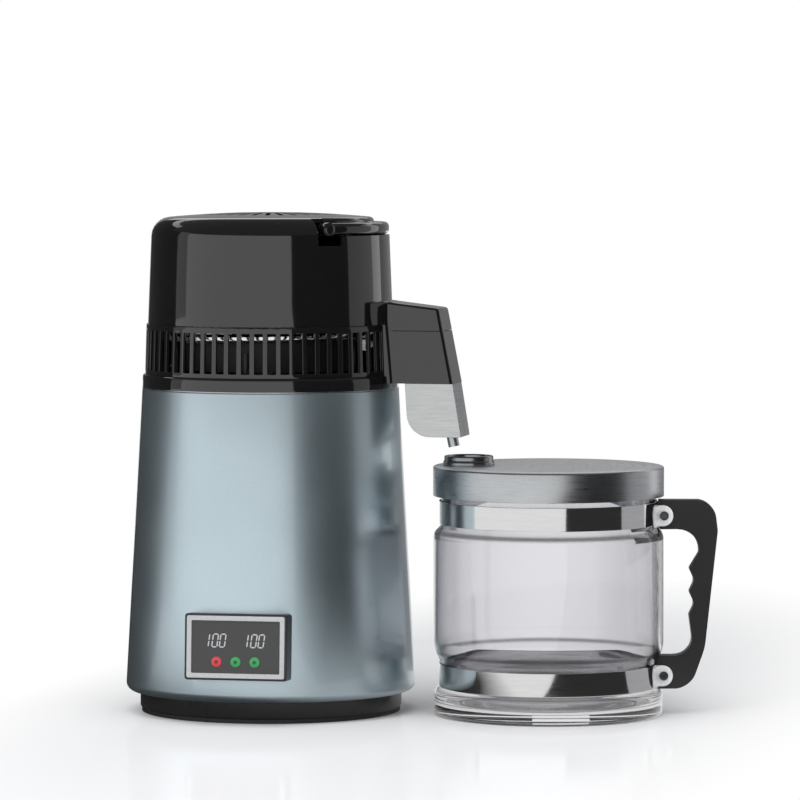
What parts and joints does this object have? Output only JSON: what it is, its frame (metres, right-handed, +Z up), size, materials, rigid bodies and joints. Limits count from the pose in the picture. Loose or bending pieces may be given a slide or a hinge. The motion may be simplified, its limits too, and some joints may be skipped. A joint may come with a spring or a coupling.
{
  "type": "water distiller",
  "caption": "Countertop water distiller: tapered metal casing with display panel, black vented head with spout, and a free-standing banded glass jug with lid and handle.",
  "frame": {"origin": "on the table, under the centre of the machine's foot ring", "axes": "+Z up, display panel faces -Y, spout and jug towards +X"},
  "size_m": [0.4257, 0.2236, 0.359],
  "materials": {
    "rubber": "matte",
    "black_base": "satin",
    "casing_paint": "metallic gloss",
    "steel": "drawn",
    "aluminium": "cast",
    "zinc": "plated",
    "brass": "bare",
    "board": "lacquered",
    "wire": "insulated",
    "gloss_black": "gloss",
    "silver_frame": "satin silver",
    "window": "smoked",
    "red_key": "lit",
    "green_key": "lit",
    "silicone": "matte",
    "coil_steel": "polished",
    "brushed_silver": "brushed",
    "charcoal": "woven sachet",
    "glass": "clear",
    "chrome_band": "polished",
    "grip_black": "satin",
    "dark_steel": "polished dark"
  },
  "bodies": {
    "machine": {"foot_ring": "rubber", "base_ring": "black_base", "bottom_cover": "steel", "cover_screws": "zinc", "outer_casing": "casing_paint", "boiler": "steel", "heater_plate": "aluminium", "heater_element": "steel", "heater_clamp": "steel", "thermostat": "black_base", "thermal_cutout": "black_base", "panel_housing": "gloss_black", "panel_frame": "silver_frame", "display_window": "window", "display_lamps": "black_base", "control_board": "board", "power_inlet": "black_base", "inlet_pins": "brass", "inlet_screws": "zinc", "fan_socket": "black_base", "wiring_loom": "wire"},
    "head": {"head_base": "gloss_black", "fan_plug": "brass", "condenser_lid": "steel", "lid_seal": "silicone", "condenser_coil": "coil_steel", "coil_supports": "steel", "vent_ring": "gloss_black", "dome_cover": "gloss_black", "handle_pins": "dark_steel", "fan_motor": "steel", "motor_bracket": "steel", "motor_screws": "zinc", "spout_housing": "gloss_black", "filter_cup": "black_base", "charcoal_sachet": "charcoal", "outlet_tube": "coil_steel", "nozzle_shell": "brushed_silver"},
    "carry_handle": {"carry_handle": "gloss_black"},
    "fan": {"fan_blades": "black_base"},
    "spout_cap": {"spout_cap": "gloss_black"},
    "power_button": {"power_button": "red_key"},
    "down_button": {"down_button": "green_key"},
    "up_button": {"up_button": "green_key"},
    "jug": {"jug_glass": "glass", "upper_band": "chrome_band", "lower_band": "chrome_band", "band_screws": "zinc", "band_nuts": "zinc", "jug_handle": "grip_black"},
    "jug_lid": {"jug_lid": "brushed_silver", "lid_gasket": "silicone", "inlet_collar": "dark_steel", "strainer_cup": "steel"}
  },
  "joints": [
    {"name": "head_lift", "type": "slide", "parent": "machine", "child": "head", "axis": [0, 0, 1], "range_m": [0, 0.15]},
    {"name": "handle_swing", "type": "hinge", "parent": "head", "child": "carry_handle", "pos_m": [0, 0, 0.3478], "axis": [0.6947, -0.7193, 0], "range_deg": [0, 90]},
    {"name": "fan_spin", "type": "hinge", "parent": "head", "child": "fan", "pos_m": [0, 0, 0.3], "axis": [0, 0, 1], "continuous": true},
    {"name": "spout_cap_lift", "type": "slide", "parent": "head", "child": "spout_cap", "axis": [0, 0, 1], "range_m": [0, 0.04]},
    {"name": "power_press", "type": "slide", "parent": "machine", "child": "power_button", "axis": [0, 0.9984, -0.0563], "range_m": [0, 0.0007], "stiffness_N_per_m": 250},
    {"name": "down_press", "type": "slide", "parent": "machine", "child": "down_button", "axis": [0, 0.9984, -0.0563], "range_m": [0, 0.0007], "stiffness_N_per_m": 250},
    {"name": "up_press", "type": "slide", "parent": "machine", "child": "up_button", "axis": [0, 0.9984, -0.0563], "range_m": [0, 0.0007], "stiffness_N_per_m": 250},
    {"name": "jug_slide", "type": "slide", "parent": "machine", "child": "jug", "axis": [0.9744, 0.225, 0], "range_m": [0, 0.15]},
    {"name": "lid_swivel", "type": "hinge", "parent": "jug", "child": "jug_lid", "pos_m": [0.201, 0.016, 0.17], "axis": [0, 0, 1], "continuous": true}
  ]
}
